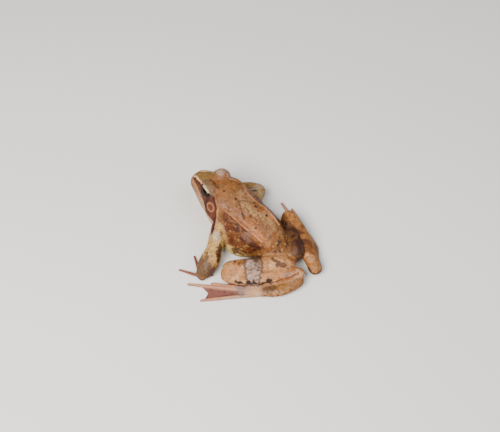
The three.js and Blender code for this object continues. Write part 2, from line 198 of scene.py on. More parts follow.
def ends(node):
    """The two end points of a long solid, a little inside its tips."""
    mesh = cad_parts[node].data
    points = np.array([v.co for v in mesh.vertices]) / MM
    middle = points.mean(0)
    axis = np.linalg.svd(points - middle, full_matrices=False)[2][0]
    along = (points - middle) @ axis
    inset = TIP_INSET * (along.max() - along.min())
    return [middle + axis * (along.min() + inset), middle + axis * (along.max() - inset)]


def joint_between(child, parent):
    if parent == "trunk":
        return min(ends(child), key=lambda point: abs(point[0] - MIDLINE))
    pairs = [(a, b) for a in ends(child) for b in ends(parent)]
    a, b = min(pairs, key=lambda pair: np.linalg.norm(pair[0] - pair[1]))
    return (a + b) / 2


def grid_axes(window):
    """The row-frame coordinates of a window's grid points, ready to broadcast."""
    axes = [GRID_LOW[i] + VOXEL * np.arange(window[i].start, window[i].stop) for i in range(3)]
    return np.meshgrid(*[a.astype(np.float32) for a in axes], indexing="ij", sparse=True)


def grow_body(fields):
    """The whole flesh as one field, with the cuts between its solids closed."""
    whole = np.full(GRID_SHAPE, BAND, np.float32)

    def add(node, k):
        window = fields[node].window
        whole[window] = smooth_min(whole[window], fields[node].values, k)

    for node in BODY_NODES + ["eye_left", "eye_right"]:
        add(node, CUT_BLEND)
    for side in SIDES:
        for part, parent, blend, reach in LIMB_CHAIN:
            node = f"{part}_{side}"
            above = parent if parent == "trunk" else f"{parent}_{side}"
            add_at_joint(whole, fields[node], joint_between(node, above), blend, reach)
        for i in range(1, FINGERS + 1):
            add(f"finger_{side}_{i}", CUT_BLEND)
    return whole


def add_at_joint(whole, field, joint, blend, reach):
    x, y, z = grid_axes(field.window)
    distance = (x - joint[0]) ** 2 + (y - joint[1]) ** 2 + (z - joint[2]) ** 2
    k = CUT_BLEND + (blend - CUT_BLEND) * np.exp(-distance / (2 * reach * reach))
    whole[field.window] = smooth_min(whole[field.window], field.values, k)


def nearest(fields, nodes):
    """The distance to the nearest of some nodes, over the whole grid."""
    result = np.full(GRID_SHAPE, BAND, np.float32)
    for node in nodes:
        window = fields[node].window
        result[window] = np.minimum(result[window], fields[node].values)
    return result


def smoothed(whole, fields):
    """The flesh blurred by region, in millimetres, which takes the facets off but leaves the toes thin."""
    limb_parts = ["thigh", "shank", "tarsus", "upper_arm", "forearm", "hand"]
    regions = [
        (["trunk"], 1.7),
        (["head", "lower_jaw", "eye_left", "eye_right", "eardrum_left", "eardrum_right"], 1.1),
        ([f"{part}_{side}" for part in limb_parts for side in SIDES], 0.85),
        ([node for node in fields if node.startswith(("foot", "finger"))], 0.25),
    ]
    softness = 0.8
    total = np.zeros(GRID_SHAPE, np.float32)
    result = np.zeros(GRID_SHAPE, np.float32)
    for nodes, spread in regions:
        weight = np.exp(-nearest(fields, nodes) / softness)
        result += weight * blurred(whole, spread)
        total += weight
    return result / total


# ---------------------------------------------------------------- the head's features

UP = np.array([0.0, 0.0, 1.0])
EYE_AHEAD = 0.30
EYE_UPWARD = {"left": 0.40, "right": 0.16}
OPENING_LENGTH, OPENING_ABOVE, OPENING_BELOW = (math.radians(a) for a in (68, 45, 38))
OPENING_ROUNDNESS = 1.8
LID_THICKNESS, LID_FLARE = 0.6, 0.9
NOSTRIL = {"forward": 73.9, "outward": 3.1, "up": 24.6}
MOUTH_DEPTH, MOUTH_WIDTH = 0.55, 0.75


def smooth_max(a, b, k):
    return -smooth_min(-a, -b, k)


def window_around(point, reach):
    low = np.floor((point - reach - GRID_LOW) / VOXEL).astype(int)
    high = np.ceil((point + reach - GRID_LOW) / VOXEL).astype(int)
    return tuple(slice(max(a, 0), min(b, n)) for a, b, n in zip(low, high, GRID_SHAPE))


def eye_ball(side):
    low, high = corners(f"eye_{side}")
    return (low + high) / 2, (high - low).max() / 2


def eye_axes(side):
    """Where an eye looks, the direction along its opening, and the one across it, upwards."""
    gaze = np.array([SIDES[side], -EYE_AHEAD, EYE_UPWARD[side]])
    gaze /= np.linalg.norm(gaze)
    along = np.cross(gaze, UP) * SIDES[side]
    along /= np.linalg.norm(along)
    rise = np.cross(along, gaze) * SIDES[side]
    return gaze, along, rise if rise[2] > 0 else -rise


def eye_opening(x, y, z, side):
    """At each place, its distance from the eye's centre and how far round it is from the lids."""
    middle = eye_ball(side)[0]
    gaze, along, rise = eye_axes(side)
    offset = (x - middle[0], y - middle[1], z - middle[2])
    ahead, length, height = (sum(d * c for d, c in zip(offset, axis)) for axis in (gaze, along, rise))
    distance = np.sqrt(sum(d * d for d in offset))
    across = np.maximum(np.sqrt(length ** 2 + height ** 2), 1e-6)
    half_height = np.where(height > 0, OPENING_ABOVE, OPENING_BELOW)
    n = OPENING_ROUNDNESS
    spans = (np.abs(length) / across / OPENING_LENGTH) ** n + (np.abs(height) / across / half_height) ** n
    limit = spans ** (-1 / n)
    return distance, (np.arctan2(across, ahead) - limit) * distance, height


def open_eye(flesh, side):
    """The lids: thin over the ball, with a raised edge round the opening."""
    middle, radius = eye_ball(side)
    window = window_around(middle, 12)
    around = flesh[window]
    distance, arc, height = eye_opening(*grid_axes(window), side)
    around = smooth_min(around, distance - radius - LID_THICKNESS, 1.5)
    reach = radius + LID_THICKNESS + LID_FLARE * np.maximum(arc, 0) ** 2
    around = smooth_max(around, distance - reach, 0.8)
    upper = smoothstep(height, -0.8, 0.8)
    bead = np.sqrt((arc - 0.35) ** 2 + (distance - radius - 0.1 - 0.25 * upper) ** 2) - 0.32 - 0.18 * upper
    around = smooth_min(around, bead, 0.5)
    hole = np.maximum(arc, radius - 0.3 - distance)
    flesh[window] = smooth_max(around, -hole, 0.2)


def surface_near(flesh, point):
    """The skin's surface nearest a point, and the way it faces."""
    start = np.zeros(3, int)
    for _ in range(6):
        steps = np.concatenate([np.zeros((1, 3)), np.eye(3) * VOXEL, -np.eye(3) * VOXEL])
        values = sample(flesh, start, point + steps)
        normal = values[1:4] - values[4:7]
        normal /= np.linalg.norm(normal)
        point = point - normal * values[0]
    return point, normal


def head_point(forward, left, up):
    return row_point(forward, left + float(sway(np.array(forward))), up)


def open_nostril(flesh, side):
    """A slanting slit with a low rim, on the edge from snout to eye."""
    place = head_point(NOSTRIL["forward"], SIDES[side] * NOSTRIL["outward"], NOSTRIL["up"])
    place, normal = surface_near(flesh, place)
    back = np.array([0.35 * SIDES[side], 1.0, 0.25])
    back -= normal * (back @ normal)
    back /= np.linalg.norm(back)
    across = np.cross(normal, back)
    window = window_around(place, 4)
    x, y, z = grid_axes(window)
    offset = (x - place[0], y - place[1], z - place[2])
    length, width, depth = (sum(d * c for d, c in zip(offset, axis)) for axis in (back, across, normal))
    slit = (np.sqrt((length / 0.8) ** 2 + (width / 0.42) ** 2 + (depth / 0.9) ** 2) - 1) * 0.45
    rim = np.exp(-((slit - 0.35) / 0.45) ** 2)
    flesh[window] = smooth_max(flesh[window] - 0.28 * rim, -slit, 0.2)


def cut_mouth(flesh, fields):
    """The closed mouth, a groove where the head and the lower jaw meet."""
    jaw = fields["lower_jaw"]
    head = on_window(fields["head"], jaw.window)
    apart = head - jaw.values
    near = np.exp(-(np.minimum(np.abs(head), np.abs(jaw.values)) / 1.2) ** 2)
    groove = np.exp(-(apart / MOUTH_WIDTH) ** 2)
    lip = np.exp(-((apart + 2.0) / 1.2) ** 2)
    flesh[jaw.window] += near * (MOUTH_DEPTH * groove - 0.25 * lip)


def on_window(field, window):
    """A field's values on another part of the grid."""
    whole = np.full(GRID_SHAPE, BAND, np.float32)
    whole[field.window] = field.values
    return whole[window]


# ---------------------------------------------------------------- meshes

def polygons(values):
    grid = openvdb.FloatGrid(BAND)
    grid.copyFromArray(values.astype(np.float32))
    grid.transform = openvdb.createLinearTransform(voxelSize=VOXEL)
    points, quads = grid.convertToQuads(isovalue=0.0)
    return np.asarray(points) + GRID_LOW, np.asarray(quads).astype(np.int64)


def vertex_normals(points, quads):
    diagonal_a = points[quads[:, 2]] - points[quads[:, 0]]
    diagonal_b = points[quads[:, 3]] - points[quads[:, 1]]
    face = np.cross(diagonal_a, diagonal_b)
    normals = np.zeros_like(points)
    for k in range(4):
        np.add.at(normals, quads[:, k], face)
    return normals / np.maximum(np.linalg.norm(normals, axis=1, keepdims=True), 1e-12)


def mesh_object(name, points, faces, paint=None):
    mesh = bpy.data.meshes.new(name)
    mesh.from_pydata((points * MM).tolist(), [], faces.tolist() if isinstance(faces, np.ndarray) else faces)
    mesh.update()
    mesh.shade_smooth()
    if paint is not None:
        colours = np.concatenate([paint, np.ones((len(paint), 1))], axis=1).astype(np.float32)
        layer = mesh.color_attributes.new("paint", "FLOAT_COLOR", "POINT")
        layer.data.foreach_set("color", colours.ravel())
    obj = bpy.data.objects.new(name, mesh)
    bpy.context.scene.collection.objects.link(obj)
    return obj


# ---------------------------------------------------------------- noise and marks

LATTICE = np.random.default_rng(5).random((64, 64, 64)).astype(np.float32)


def lattice_random(x, y, z, seed):
    """A repeatable number from 0 to 1 for each cell of a lattice, given by its whole numbers."""
    return LATTICE[(x + 17 * seed) & 63, (y + 31 * seed) & 63, (z + 47 * seed) & 63]


def noise(points, size, seed):
    """Smooth noise from -1 to 1 whose lumps have a given size."""
    at = (points / size).astype(np.float32)
    low = np.floor(at)
    part = at - low
    part = part * part * (3 - 2 * part)
    (x, y, z), (u, v, w) = low.astype(np.int32).T, part.T
    total = np.zeros(len(points), np.float32)
    for i, j, k in np.ndindex(2, 2, 2):
        weight = (u if i else 1 - u) * (v if j else 1 - v) * (w if k else 1 - w)
        total += weight * lattice_random(x + i, y + j, z + k, seed)
    return total * 2 - 1


def clouds(points, size, seed):
    """Noise with finer lumps on coarser ones."""
    return sum(noise(points, size / 2 ** i, seed + i) / 2 ** i for i in range(4)) / 1.4


def grains(points, size, seed, kept=1.0):
    """The distance from each point to the nearest of scattered centres, and that centre's number."""
    at = (points / size).astype(np.float32).T
    low = np.floor(at).astype(np.int32)
    closest = np.full(len(points), 9.0, np.float32)
    number = np.zeros(len(points), np.float32)
    for i, j, k in np.ndindex(3, 3, 3):
        cell = (low[0] + i - 1, low[1] + j - 1, low[2] + k - 1)
        gap = sum((at[n] - cell[n] - 0.15 - 0.7 * lattice_random(*cell, seed + n + 1)) ** 2 for n in range(3))
        gap[lattice_random(*cell, seed + 4) > kept] = 81.0
        closer = gap < closest
        closest = np.where(closer, gap, closest)
        number = np.where(closer, lattice_random(*cell, seed + 5), number)
    return np.sqrt(closest) * size, number


def line_distance(points, line):
    """How far points are from a line through given places."""
    line = np.array(line, float)
    points = points[:, :line.shape[1]]
    result = np.full(len(points), 1e3)
    for a, b in zip(line[:-1], line[1:]):
        t = np.clip((points - a) @ (b - a) / max((b - a) @ (b - a), 1e-9), 0, 1)
        result = np.minimum(result, np.linalg.norm(points - a - t[:, None] * (b - a), axis=1))
    return result


def over_back(line, step=1.5):
    """A line over the back, given as (forward, left), laid on the skin in places that close."""
    line = np.array(line, float)
    spots = [line[0]]
    for a, b in zip(line[:-1], line[1:]):
        count = max(int(np.linalg.norm(b - a) / step), 1)
        spots += [a + (b - a) * (i + 1) / count for i in range(count)]
    heights = [places[np.hypot(*(places[:, :2] - place).T) < 0.6, 2].max() for place in spots]
    return [(*place, up) for place, up in zip(spots, heights)]


def mirrored(line, side):
    return [(place[0], SIDES[side] * place[1], *place[2:]) for place in line]


# ---------------------------------------------------------------- relief of the skin

# Most places of the folds, the mask's borders and the marks were made by a scratch program: they
# are not worked out from the frame. Lines over the back are (forward, left).
FOLD = [(57.4, 6.5), (53.9, 8.7), (51.8, 10.0), (49.9, 10.6), (48.3, 10.2), (44.6, 9.1), (40.3, 8.5),
        (34.5, 8.7), (29.5, 8.9), (24.3, 8.5), (18.4, 7.8)]
FOLD_HEIGHT, FOLD_WIDTH = 0.6, 0.7
CHEEK_FOLD = [(49.9, 10.9, 24.5), (49.1, 12.2, 21.6), (47.8, 14.5, 18.3), (45.5, 17.6, 17.1),
              (44.4, 19.1, 16.5)]
CANTHUS = [(75.5, 2.3, 24.2), (73.4, 3.0, 25.2), (70.5, 4.3, 25.9), (67.6, 5.6, 26.8)]
LOREAL_HOLLOW = (69.8, 6.3, 23.9)
GRAIN_SIZE = 0.95


def relief():
    """How far the skin stands out or in at each vertex, from its folds, the eardrums and its grain."""
    height = np.zeros(len(points))
    for side in SIDES:
        fold = line_distance(places, over_back(mirrored(FOLD, side)))
        thick = 1 + 0.3 * noise(places, 3.0, 11)
        height += FOLD_HEIGHT * thick * np.exp(-(fold / FOLD_WIDTH) ** 2)
        height -= 0.14 * np.exp(-((fold - 1.5) / 0.8) ** 2)
        height += 0.3 * np.exp(-(line_distance(places, mirrored(CHEEK_FOLD, side)) / 0.6) ** 2)
        height += 0.25 * np.exp(-(line_distance(places, mirrored(CANTHUS, side)) / 0.8) ** 2)
        hollow = np.array(mirrored([LOREAL_HOLLOW], side)[0])
        height -= 0.35 * np.exp(-(np.linalg.norm(places - hollow, axis=1) / 2.2) ** 2)
        around, across = from_eardrum(side)
        height += near_eardrum(across) * (0.34 * np.exp(-((around - 2.5) / 0.38) ** 2)
                                          - 0.3 * np.clip(1 - (around / 2.2) ** 2, 0, 1)
                                          + 0.1 * np.exp(-(around / 0.5) ** 2))
    rough = roughness_of_skin()
    height += rough * (0.07 + 0.09 * grain_number) * (1 - smoothstep(grain_gap, 0.1, 0.6))
    wart, number = grains(points, 2.7, 31, kept=0.55)
    height += rough * warty() * (0.16 + 0.28 * number) * (1 - smoothstep(wart, 0.1, 0.55 + 0.45 * number))
    height += (0.25 + 0.75 * rough) * 0.12 * clouds(points, 2.6, 41)
    return height


def from_eardrum(side):
    """The distance from the axis of an eardrum's disc, and from its face."""
    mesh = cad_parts[f"eardrum_{side}"].data
    disc = np.array([v.co for v in mesh.vertices]) / MM
    middle = disc.mean(0)
    axis = np.linalg.svd(disc - middle, full_matrices=False)[2][2]
    offset = points - middle
    across = offset @ axis
    return np.linalg.norm(offset - across[:, None] * axis, axis=1), np.abs(across)


def near_eardrum(across):
    return 1 - smoothstep(across, 2.0, 3.2)


def roughness_of_skin():
    """How grainy the skin is: least under the belly, on the lids, toes and fingers."""
    down = smoothstep(-facing[:, 2], 0.3, 0.8)
    return (1 - 0.75 * down) * (1 - 0.8 * part["digits"]) * (1 - 0.55 * part["head"])


def warty():
    """Where the bigger warts stand: the flanks, the rump and the backs of the thighs."""
    flank = smoothstep(np.abs(places[:, 1]), 8.5, 12)
    rump = 1 - smoothstep(places[:, 0], 12, 22)
    return part["trunk"] * np.maximum(0.15 + 0.85 * flank, rump) + 0.4 * part["thigh"]


# ---------------------------------------------------------------- paint

CHROMA = 1.3
GAIN = 0.455
CONTRAST = 0.43


def shade(red, green, blue):
    """The paint that shows as a given screen colour, which the studio's view flattens a little."""
    linear = np.array([((c / 255 + 0.055) / 1.055) ** 2.4 for c in (red, green, blue)])
    grey = linear.mean()
    vivid = np.maximum(grey + CHROMA * (linear - grey), 0.004)
    return GAIN * vivid * (grey / 0.25) ** CONTRAST


def cover(paint, mask, colour):
    """Lays a screen colour, or an array of paint, over the paint where the mask is."""
    if isinstance(colour, tuple):
        colour = shade(*colour)
    paint += np.clip(mask, 0, 1)[:, None] * (colour - paint)


def step(value, edge, soft):
    """From 0 below the edge to 1 above it."""
    return smoothstep(value, edge - soft, edge + soft)


def between(value, low, high, soft):
    return step(value, low, soft) * (1 - step(value, high, soft))


def spot(at, size, seed=0, soft=0.25, wobble=0.5):
    """A blot with a ragged edge round a place on the frog."""
    gap = np.linalg.norm(places - np.array(at), axis=1)
    near = gap < 2.2 * size
    mask = np.zeros(len(places))
    mask[near] = 1 - step(gap[near] / size + wobble * clouds(places[near], size * 0.9, seed), 0.9, soft)
    return mask


def stroke(line, width, seed=0, soft=0.3, wobble=0.5):
    """A line whose edge wanders and whose strength comes and goes."""
    gap = line_distance(places, line)
    near = gap < 2.5 * width
    mask = np.zeros(len(places))
    mask[near] = 1 - step(gap[near] / width + wobble * clouds(places[near], width * 2, seed), 0.8, soft)
    return mask


def flecks(size, amount, seed, soft=0.12):
    """Small irregular marks over part of the skin, more of them for a larger amount."""
    return step(clouds(places, size, seed), 0.62 - amount, soft)


def dapple(paint, mask, fleck, colour):
    """Flecks of a colour over the paint, given by their size, amount, seed and softness."""
    cover(paint, mask * flecks(*fleck), colour)


def veins(size, width, seed):
    """Thin wandering lines over part of the skin."""
    return 1 - smoothstep(np.abs(clouds(places, size, seed)), width * 0.3, width)


def mm_from(start, end):
    """The distance of each vertex from a joint, measured towards another."""
    return (points - start) @ (end - start) / np.linalg.norm(end - start)


LIMB_PARTS = ["thigh", "shank", "tarsus", "foot", "upper_arm", "forearm", "hand", "fingers"]


def part_shares(softness=0.5):
    """How much of each vertex belongs to each part, adding up to 1, with sums over both sides."""
    kinds = {"head": ["head", "lower_jaw", "eardrum_left", "eardrum_right", "eye_left", "eye_right"],
             "trunk": ["trunk"]}
    for side in SIDES:
        for name in LIMB_PARTS[:-1]:
            kinds[f"{name}_{side}"] = [f"{name}_{side}"]
        kinds[f"fingers_{side}"] = [f"finger_{side}_{i}" for i in range(1, FINGERS + 1)]
    distances = {kind: np.min([distance_to(node) for node in nodes], axis=0) for kind, nodes in kinds.items()}
    least = np.min(list(distances.values()), axis=0)
    weights = {kind: np.exp(-(d - least) / softness) for kind, d in distances.items()}
    total = sum(weights.values())
    shares = {kind: w / total for kind, w in weights.items()}
    for name in LIMB_PARTS:
        shares[name] = shares[f"{name}_left"] + shares[f"{name}_right"]
    shares["digits"] = shares["foot"] + shares["hand"] + shares["fingers"]
    return shares


def distance_to(node):
    return sample(fields[node].values, fields[node].start, points)


# Browns by the part of the frog they are seen on, as screen colours.
DARK_RED, RED_BROWN, DARK_BROWN = (90, 44, 28), (124, 66, 38), (84, 54, 38)
LILAC = (168, 146, 136)

# The mask's borders, as (forward, up).
MASK_TOP = [(44.0, 15.6), (45.2, 16.7), (47.1, 17.3), (49.0, 19.2), (49.7, 21.8), (50.4, 23.8),
            (52.3, 25.8), (53.9, 27.0), (56.1, 27.6), (61, 27.8), (66, 27.6), (68.6, 25.9), (71.5, 25.2),
            (73.7, 24.8), (77, 23.6)]
MASK_BOTTOM = [(44.0, 15.2), (46, 14.9), (50, 14.8), (53, 15.2), (55.4, 15.9), (57.3, 17.0),
               (59.1, 19.1), (61.4, 21.6), (64.1, 22.2), (67.3, 22.9), (71.4, 23.3), (77, 23.5)]


def border(table):
    forward, up = np.array(table).T
    return np.interp(places[:, 0], forward, up)


PALE_STRIPE = [(41, -2), (37.8, -1.4), (32.9, -0.9), (23.2, -3), (17.7, -3.5)]


def paint_trunk():
    """The back tan with cream and orange clouds, the flanks ochre marbled with red-brown."""
    forward, left, up = places.T
    base = np.tile(shade(166, 122, 88), (len(points), 1))
    cover(base, 0.9 * flecks(8, 0.6, 101, 0.35) * step(forward, 22, 8), (178, 144, 112))
    dapple(base, 0.8, (5, 0.45, 102, 0.25), (172, 114, 74))
    cover(base, 0.8 * flecks(6, 0.4, 103, 0.2) * (1 - step(forward, 28, 8)), (208, 152, 112))
    cover(base, 0.75 * stroke(over_back(PALE_STRIPE), 2.4, 116, 0.5), (188, 158, 118))
    dapple(base, 0.7, (2.6, 0.32, 104, 0.2), (190, 156, 120))
    dapple(base, 0.7 * veins(5, 0.1, 113), (9, 0.6, 114, 0.3), (116, 70, 44))
    dapple(base, 0.7, (1.4, 0.14, 105, 0.1), (112, 70, 46))
    flank = step(np.abs(left) + 0.8 * clouds(places, 3, 106), 9.6, 1.0) * (1 - step(forward, 52, 3))
    cover(base, flank, (154, 108, 70))
    dapple(base, flank * 0.8, (4, 0.45, 107, 0.12), (128, 68, 38))
    dapple(base, flank * 0.8, (2.2, 0.28, 109, 0.1), (194, 154, 108))
    cover(base, flank * 0.85 * flecks(1.9, 0.26, 108, 0.08), DARK_RED)
    cover(base, flank * 0.75 * veins(3, 0.12, 115), (100, 56, 34))
    rump = (1 - step(forward + 1.5 * clouds(places, 5, 110), 14, 4)) * step(up, 5, 3)
    cover(base, rump * 0.9, (142, 98, 58))
    dapple(base, rump * 0.8, (1.4, 0.3, 112, 0.1), (204, 156, 106))
    dapple(base, rump * 0.85, (1.7, 0.36, 111, 0.1), (80, 48, 30))
    return base


def paint_head():
    forward = places[:, 0]
    base = np.tile(shade(156, 112, 76), (len(points), 1))
    cover(base, step(forward + 2 * clouds(places, 6, 201), 66, 3), (156, 126, 82))
    cover(base, 0.7 * flecks(4, 0.42, 202, 0.25) * (1 - step(forward, 64, 3)), (168, 116, 78))
    dapple(base, 0.6, (1.8, 0.3, 204, 0.2), (176, 140, 102))
    dapple(base, 0.65, (1.3, 0.16, 203, 0.1), (108, 72, 46))
    return base


def paint_belly(paint):
    """Pale below, with grey-brown clouding on the throat and chest."""
    forward, up = places[:, 0], places[:, 2]
    below = step(-facing[:, 2] + 0.25 * clouds(places, 4, 301), 0.3, 0.3)
    below *= part["trunk"] + part["head"] + part["thigh"]
    cover(paint, below, (206, 188, 154))
    dapple(paint, below * 0.5, (3, 0.3, 302, 0.2), (160, 138, 108))
    edge = step(9 - up + 1.2 * clouds(places, 3, 303), 0, 1.6) * part["trunk"] * step(forward, 24, 4)
    edge *= 1 - below
    cover(paint, 0.85 * edge, (212, 190, 136))
    dapple(paint, 0.85 * edge, (2.6, 0.34, 304, 0.1), (112, 66, 40))


CHEVRON = [[(45.3, 0.4), (42.8, 0.2), (41.2, -2.4), (38.7, -4.8)],
           [(42.8, 0.2), (40, 1.4), (37.4, 3.2), (35.4, 4.3), (33.3, 5.5)]]
CHEVRON_THICK = [(36.4, 3.8), (34.2, 5.0)]
CURLS = [[(50.2, 8), (49.2, 7.1), (48.2, 5.6), (47.4, 4.6)],
         [(49.4, 8.4), (48.6, 6.3), (46.6, 6.2)],
         [(37.7, -0.1), (34.9, 0.1), (32, 2.5)],
         [(26.2, 3.6), (24.4, 1.4), (22.8, -0.1), (21.2, 0.2), (20, 1.3)]]
# Spots: place and size.
BACK_SPOTS = [((45.1, 0.3), 0.9), ((26, -5.4), 1.0), ((25.1, 5.1), 0.9), ((52.7, 2.4), 0.7),
              ((63.9, 2.2), 1.2), ((34, -5.1), 1.1), ((36, -6.3), 0.8), ((31, -3.5), 0.5)]


def paint_back_marks(paint):
    """The chevron and curls, dark spots, and the pale folds with a dark band outside each."""
    forward, left = places[:, 0], places[:, 1]
    for seed, line in enumerate(CHEVRON + CURLS):
        width = 0.46 if line in CHEVRON else 0.36
        cover(paint, 0.8 * stroke(over_back(line), width, 401 + seed, wobble=0.8), (104, 64, 46))
    cover(paint, 0.8 * stroke(over_back(CHEVRON_THICK), 0.8, 408, wobble=0.7), (92, 58, 46))
    for place, size in BACK_SPOTS:
        mark = spot(over_back([place] * 2)[0], size, int(place[0]), soft=0.2)
        cover(paint, 0.92 * mark, (78, 48, 36))
    for side in SIDES:
        line = over_back(mirrored(FOLD, side))
        outside = step(SIDES[side] * left - np.interp(forward, *np.array(FOLD[::-1]).T), 0.5, 0.4)
        beside = 1 - step(line_distance(places, line) + 0.6 * clouds(places, 2.5, 420), 1.8, 0.4)
        cover(paint, 0.9 * outside * beside * between(forward, 27, 46.5, 1.5), DARK_RED)
        fold = stroke(line, 0.85, 421, soft=0.3, wobble=0.25)
        cover(paint, 0.92 * fold, (176, 120, 86))
        cover(paint, 0.9 * fold * (1 - step(forward, 28, 8)), (224, 166, 126))
        dapple(paint, 0.5 * fold, (2.5, 0.4, 422, 0.2), (206, 152, 118))


# Marks on the left flank and rump, mirrored to the right: place, size and colour.
FLANK_MARKS = [
    ((43.5, 17.7, 17), 0.9, DARK_RED), ((36.1, 14.6, 15.2), 3.4, RED_BROWN),
    ((33.5, 15.5, 12.0), 2.6, RED_BROWN), ((39.5, 14.5, 18.0), 1.6, RED_BROWN),
    ((27.5, 11.0, 20.0), 3.2, (156, 122, 106)), ((24.5, 11.2, 18.5), 2.2, (148, 114, 98)),
    ((30.1, 16.9, 8.4), 2.8, DARK_RED), ((23.1, 11.2, 16.8), 1.3, DARK_BROWN),
    ((21.5, 11.2, 15.4), 1.8, DARK_RED), ((18.8, 9.9, 14.8), 1.6, DARK_RED),
    ((10.3, 5.3, 14.0), 0.9, (122, 48, 32)), ((8.3, 3.6, 14.2), 1.2, DARK_BROWN),
    ((11.5, -1.4, 16.2), 0.9, DARK_BROWN),
]


def paint_flank_marks(paint):
    circle = np.linspace(0.4, 5.6, 8)
    for out in SIDES.values():
        for (forward, left, up), size, colour in FLANK_MARKS:
            mask = spot((forward, out * left, up), size, 430 + int(forward + up), 0.25, 0.8) * part["trunk"]
            cover(paint, 0.8 * mask, colour)
        purple = spot((26, out * 10.9, 19.3), 3.8, 440) * part["trunk"]
        dapple(paint, 0.8 * purple, (1.5, 0.3, 441, 0.1), (98, 66, 56))
        ring = [(34.8 + 1.5 * math.cos(a), out * (11.0 + 0.9 * math.sin(a)), 21.2 - 1.5 * math.sin(a))
                for a in circle]
        cover(paint, 0.9 * stroke(ring, 0.6, 445, wobble=0.6), (92, 54, 46))
        # A pale grey-white spot at each shoulder: a painted highlight.
        cover(paint, 0.85 * spot((42.2, out * 20.6, 15.9), 2.6, 450, 0.4, 0.5), (194, 182, 156))
        cover(paint, 0.8 * spot((34, out * 18.6, 5.8), 3.8, 451, 0.3, 0.6), (216, 198, 138))


HEAD_SPOTS = [((59.3, -3.7, 29.6), 1.6, (150, 88, 60)), ((62.4, -5.4, 30.6), 2.4, (186, 164, 150)),
              ((57.4, 3.2, 29.4), 1.5, (104, 72, 50)), ((60.2, 3.0, 29.8), 1.2, (120, 86, 60))]


def paint_head_marks(paint):
    """The lip's pale stripe, the dark mask from snout to shoulder, the lids and the eardrums."""
    forward, left, up = places.T
    wander = 0.5 * clouds(places, 2.5, 501)
    top, bottom = border(MASK_TOP) + wander, border(MASK_BOTTOM) + 0.6 * wander
    head = np.clip(part["head"] + (part["trunk"] + part["upper_arm"]) * step(forward, 45, 1), 0, 1)
    cheek = step(np.abs(left), 2.2, 0.8) * head
    lip = (1 - step(up, bottom, 0.25)) * step(up, bottom - 4.4, 0.9) * head * step(forward, 44, 1.5)
    lip *= np.maximum(cheek, step(forward, 74, 1.0)) * step(facing[:, 2], -0.75, 0.15)
    cover(paint, 0.95 * lip, (190, 158, 128))
    cover(paint, 0.8 * lip * (1 - step(forward, 58, 5)), (204, 178, 148))
    cover(paint, 0.6 * lip * step(forward, 69, 3), (164, 126, 94))
    dapple(paint, 0.7 * lip, (1.5, 0.26, 502, 0.12), (150, 108, 82))
    mask = between(up, bottom, top, 0.25) * cheek
    behind = 1 - step(forward, 63, 2)
    cover(paint, mask, (136, 74, 44))
    dapple(paint, mask * 0.8, (2.4, 0.36, 503, 0.2), (100, 48, 30))
    cover(paint, 0.9 * mask * behind * (1 - between(up, bottom + 0.9, top - 1.2, 0.5)), (86, 36, 24))
    cover(paint, mask * (1 - step(forward, 50.5, 1.5)) * 0.9, (98, 42, 26))
    cover(paint, 0.9 * mask * between(forward, 57.2, 60, 1.2), (80, 38, 26))
    for side in SIDES:
        canthus = mirrored(CANTHUS, side)
        cover(paint, 0.9 * stroke(canthus, 0.85, 510, wobble=0.2), (228, 194, 158))
        # A dark line just below the canthal ridge: painted shade under the ridge.
        under = [(p[0], p[1] + SIDES[side] * 0.9, p[2] - 1.0) for p in canthus]
        cover(paint, 0.85 * stroke(under, 0.8, 511, wobble=0.35), (98, 54, 34))
        around, across = from_eardrum(side)
        drum = near_eardrum(across) * (1 - step(around, 2.2, 0.25))
        cover(paint, 0.95 * drum, (138, 84, 56))
        dapple(paint, 0.7 * drum, (1.3, 0.3, 512, 0.2), (124, 72, 46))
        cover(paint, 0.85 * near_eardrum(across) * between(around, 2.15, 2.95, 0.22), (198, 148, 120))
        cover(paint, 0.85 * stroke(mirrored(CHEEK_FOLD, side), 0.7, 513, wobble=0.3), (206, 156, 122))
        paint_lid(paint, side)
    for at, size, colour in HEAD_SPOTS:
        cover(paint, 0.75 * spot(at, size, 530), colour)


def paint_lid(paint, side):
    radius = eye_ball(side)[1]
    distance, arc, height = eye_opening(*points.T, side)
    lid = (1 - step(arc + 0.6 * clouds(places, 2, 521), 3.8, 0.9)) * (1 - step(distance, radius + 2.4, 0.6))
    above = step(height, 0.0, 0.8)
    colour = shade(146, 120, 94) if side == "left" else shade(174, 148, 130)
    cover(paint, 0.85 * lid * above, colour)
    dapple(paint, 0.6 * lid * above, (1.3, 0.3, 522, 0.15), (126, 98, 78))
    # A pale band along the upper lid's rim: a painted highlight where the rim catches the light.
    edge = (1 - step(arc, 0.65, 0.15)) * (1 - step(distance, radius + 1.4, 0.3))
    cover(paint, 0.7 * edge * step(height, 0.3, 0.5), (188, 162, 138))
    inner = (1 - step(arc, np.where(height > 0, 0.15, 0.7), 0.1)) * (1 - step(distance, radius + 1.1, 0.2))
    cover(paint, inner, (30, 20, 16))


